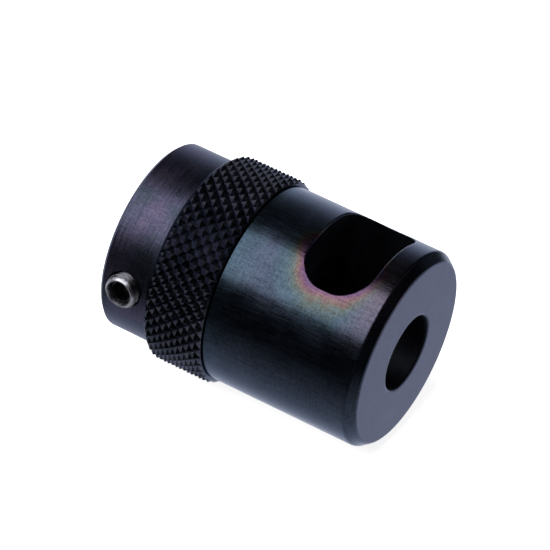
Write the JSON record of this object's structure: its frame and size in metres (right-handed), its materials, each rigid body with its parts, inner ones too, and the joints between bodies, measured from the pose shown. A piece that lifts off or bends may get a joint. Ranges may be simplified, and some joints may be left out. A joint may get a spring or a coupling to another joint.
{
  "type": "drill chuck",
  "caption": "Round quick-change drill chuck: a hub clamped by a hexagon socket screw, a knurled spring-loaded sleeve with a side window, and a ball lock",
  "frame": {"origin": "centre of the rear face, at the mouth of the spindle socket", "axes": "+X along the spindle line from the rear face to the nose, +Z out of the middle of the window, and the clamping screw points along -Y"},
  "size_m": [0.0452, 0.034, 0.034],
  "materials": {
    "black_oxide_hub": "turned and hot-blackened steel with fine turning marks",
    "black_oxide_knurl": "diamond-knurled and hot-blackened steel, near matt",
    "black_oxide_barrel": "polished, drawn lengthways and hot-blackened steel with blue, violet and green tints",
    "bearing_steel": "polished ball",
    "spring_steel": "oiled spring steel",
    "ground_steel": "ground",
    "black_rubber": "matt nitrile rubber",
    "blackened_screw": "blackened alloy steel, rubbed bright round the socket's rim",
    "brass": "turned"
  },
  "bodies": {
    "hub": {"spindle_hub": "black_oxide_hub", "sleeve_spring": "spring_steel", "spring_washer": "spring_steel", "snap_ring": "spring_steel", "guide_key": "ground_steel", "drive_pin": "ground_steel", "wiper_o_ring": "black_rubber"},
    "sleeve": {"knurled_ring": "black_oxide_knurl", "barrel": "black_oxide_barrel"},
    "ball_1": {"lock_ball_1": "bearing_steel"},
    "ball_2": {"lock_ball_2": "bearing_steel"},
    "ball_3": {"lock_ball_3": "bearing_steel"},
    "pad": {"screw_pad": "brass"},
    "screw": {"set_screw": "blackened_screw"}
  },
  "joints": [
    {"name": "sleeve_slide", "type": "slide", "parent": "hub", "child": "sleeve", "axis": [1, 0, 0], "range_m": [0, 0.0025], "stiffness_N_per_m": 4000, "springref_m": -0.0015, "deforming": ["sleeve_spring"]},
    {"name": "ball_1_lift", "type": "slide", "parent": "hub", "child": "ball_1", "axis": [0, 0, 1], "range_m": [0, 0.001]},
    {"name": "ball_2_lift", "type": "slide", "parent": "hub", "child": "ball_2", "axis": [0, -0.866, -0.5], "range_m": [0, 0.001]},
    {"name": "ball_3_lift", "type": "slide", "parent": "hub", "child": "ball_3", "axis": [0, 0.866, -0.5], "range_m": [0, 0.001]},
    {"name": "screw_feed", "type": "slide", "parent": "hub", "child": "pad", "axis": [0, -1, 0], "range_m": [-0.0005, 0.003]},
    {"name": "screw_turn", "type": "hinge", "parent": "pad", "child": "screw", "pos_m": [0.0042, 0, 0], "axis": [0, -1, 0], "range_deg": [-180, 1080]}
  ],
  "couplings": [
    {"joint": "ball_1_lift", "follows": "sleeve_slide", "ratio": 0.4},
    {"joint": "ball_2_lift", "follows": "sleeve_slide", "ratio": 0.4},
    {"joint": "ball_3_lift", "follows": "sleeve_slide", "ratio": 0.4},
    {"joint": "screw_turn", "follows": "screw_feed", "rad_per_m": 6283.2}
  ]
}
